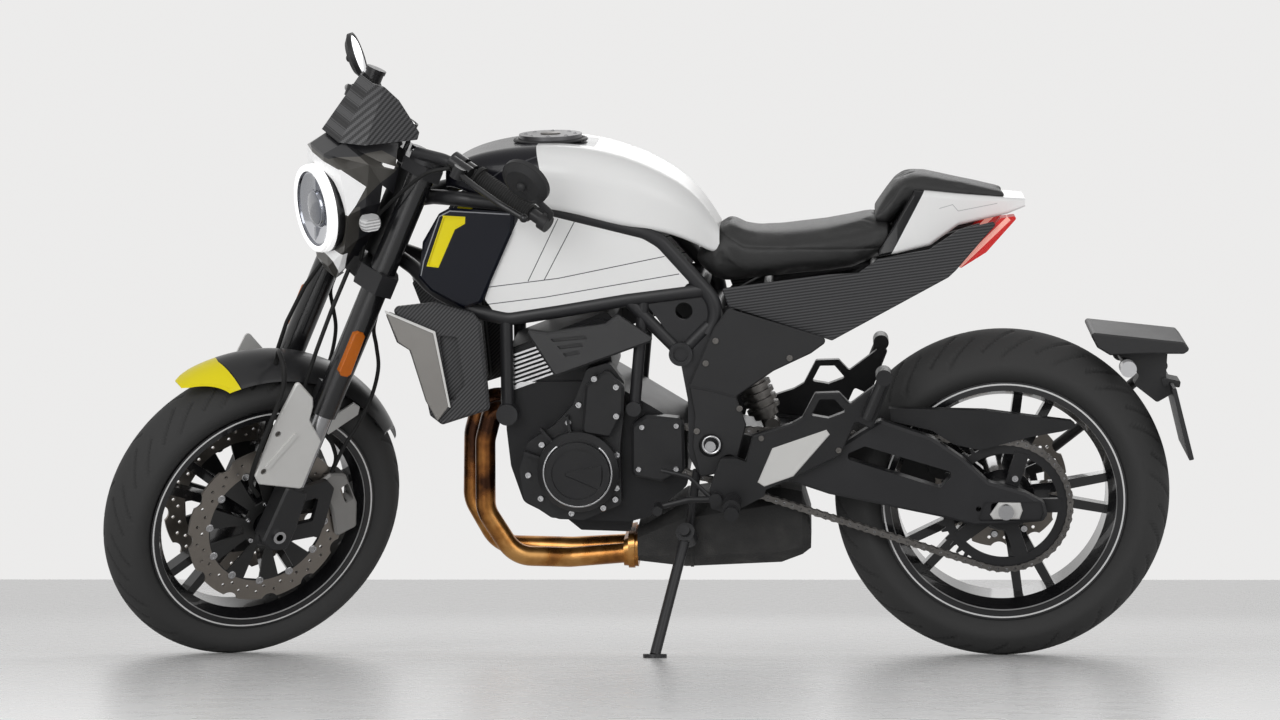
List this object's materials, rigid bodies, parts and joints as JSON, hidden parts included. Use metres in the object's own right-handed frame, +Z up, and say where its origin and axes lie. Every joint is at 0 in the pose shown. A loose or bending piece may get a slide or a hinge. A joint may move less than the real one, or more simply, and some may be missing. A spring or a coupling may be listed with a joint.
{
  "type": "cafe racer motorcycle",
  "caption": "Naked cafe racer motorcycle with a trellis frame, single seat and clip-on bars, leaning on its side stand with the steering turned to its left stop.",
  "frame": {"origin": "on the ground at the middle of the overall box", "axes": "+X rearward along the machine, +Y to its right, +Z up"},
  "size_m": [2.0426, 0.724, 1.2167],
  "materials": {
    "tyre_rubber": "matt",
    "wheel_black": "gloss",
    "disc_steel": "ground",
    "steel_dark": "oiled",
    "steel_bright": "bright",
    "black_metal": "satin",
    "aluminium": "satin",
    "engine_black": "matt",
    "exhaust_bronze": "heat tinted",
    "body_white": "gloss",
    "body_black": "gloss",
    "carbon_look": "satin weave",
    "black_plastic": "matt",
    "seat_cover": "grained",
    "rubber": "matt",
    "lamp_lens": "clear",
    "red_lens": "clear"
  },
  "bodies": {
    "front_wheel": {"front_tyre": "tyre_rubber", "front_rim": "wheel_black", "front_brake_discs": "disc_steel"},
    "rear_wheel": {"rear_tyre": "tyre_rubber", "rear_rim": "wheel_black", "rear_brake_disc": "disc_steel", "rear_sprocket": "steel_dark"},
    "frame": {"drive_chain": "steel_dark", "main_frame": "black_metal", "engine": "engine_black", "engine_covers": "engine_black", "radiator": "black_metal", "radiator_shrouds": "carbon_look", "fuel_tank": "body_white", "side_panels": "body_white", "front_covers": "body_black", "intake_covers": "black_plastic", "seat": "seat_cover", "tail_cowl": "body_white", "tail_panels": "carbon_look", "tail_lights": "red_lens", "subframe": "black_metal", "pivot_covers": "black_plastic", "swingarm": "black_metal", "rear_axle": "steel_bright", "pivot_bolt": "steel_bright", "chain_guard": "black_plastic", "rear_shock": "steel_bright", "plate_holder": "black_plastic", "header_pipes": "exhaust_bronze", "muffler": "black_metal", "foot_rests": "black_metal", "foot_levers": "black_metal", "rear_caliper": "black_metal"},
    "steering": {"fork_outer_tubes": "black_metal", "fork_bottoms": "steel_bright", "front_axle": "steel_bright", "lower_yoke": "black_metal", "upper_yoke": "black_metal", "handlebars": "black_metal", "grips": "rubber", "bar_end_mirrors": "black_plastic", "hand_controls": "black_metal", "headlight": "lamp_lens", "headlight_cowl": "body_black", "fly_screen": "carbon_look", "instrument": "black_plastic", "front_fender": "body_black", "fork_guards": "aluminium", "front_calipers": "aluminium", "brake_hoses": "rubber"},
    "fuel_cap": {"fuel_cap": "aluminium"},
    "side_stand": {"side_stand": "black_metal"}
  },
  "joints": [
    {"name": "steering", "type": "hinge", "parent": "frame", "child": "steering", "pos_m": [-0.4709, -0.0206, 0.83941], "axis": [0.4087, -0.2355, 0.8818], "range_deg": [-72, 0]},
    {"name": "front_wheel_spin", "type": "hinge", "parent": "steering", "child": "front_wheel", "pos_m": [-0.75808, 0.11036, 0.276], "axis": [-0.5379, 0.7184, 0.4412], "continuous": true},
    {"name": "rear_wheel_spin", "type": "hinge", "parent": "frame", "child": "rear_wheel", "pos_m": [0.67118, 0.12399, 0.30761], "axis": [-0.0018, 0.9659, 0.2588], "continuous": true},
    {"name": "side_stand_fold", "type": "hinge", "parent": "frame", "child": "side_stand", "pos_m": [0.07871, 0.00762, 0.22784], "axis": [-0.145, -0.9233, 0.3557], "range_deg": [0, 103]},
    {"name": "fuel_cap_lid", "type": "hinge", "parent": "frame", "child": "fuel_cap", "pos_m": [-0.23436, -0.05407, 0.96597], "axis": [0.0018, -0.9659, -0.2588], "range_deg": [0, 95]}
  ]
}
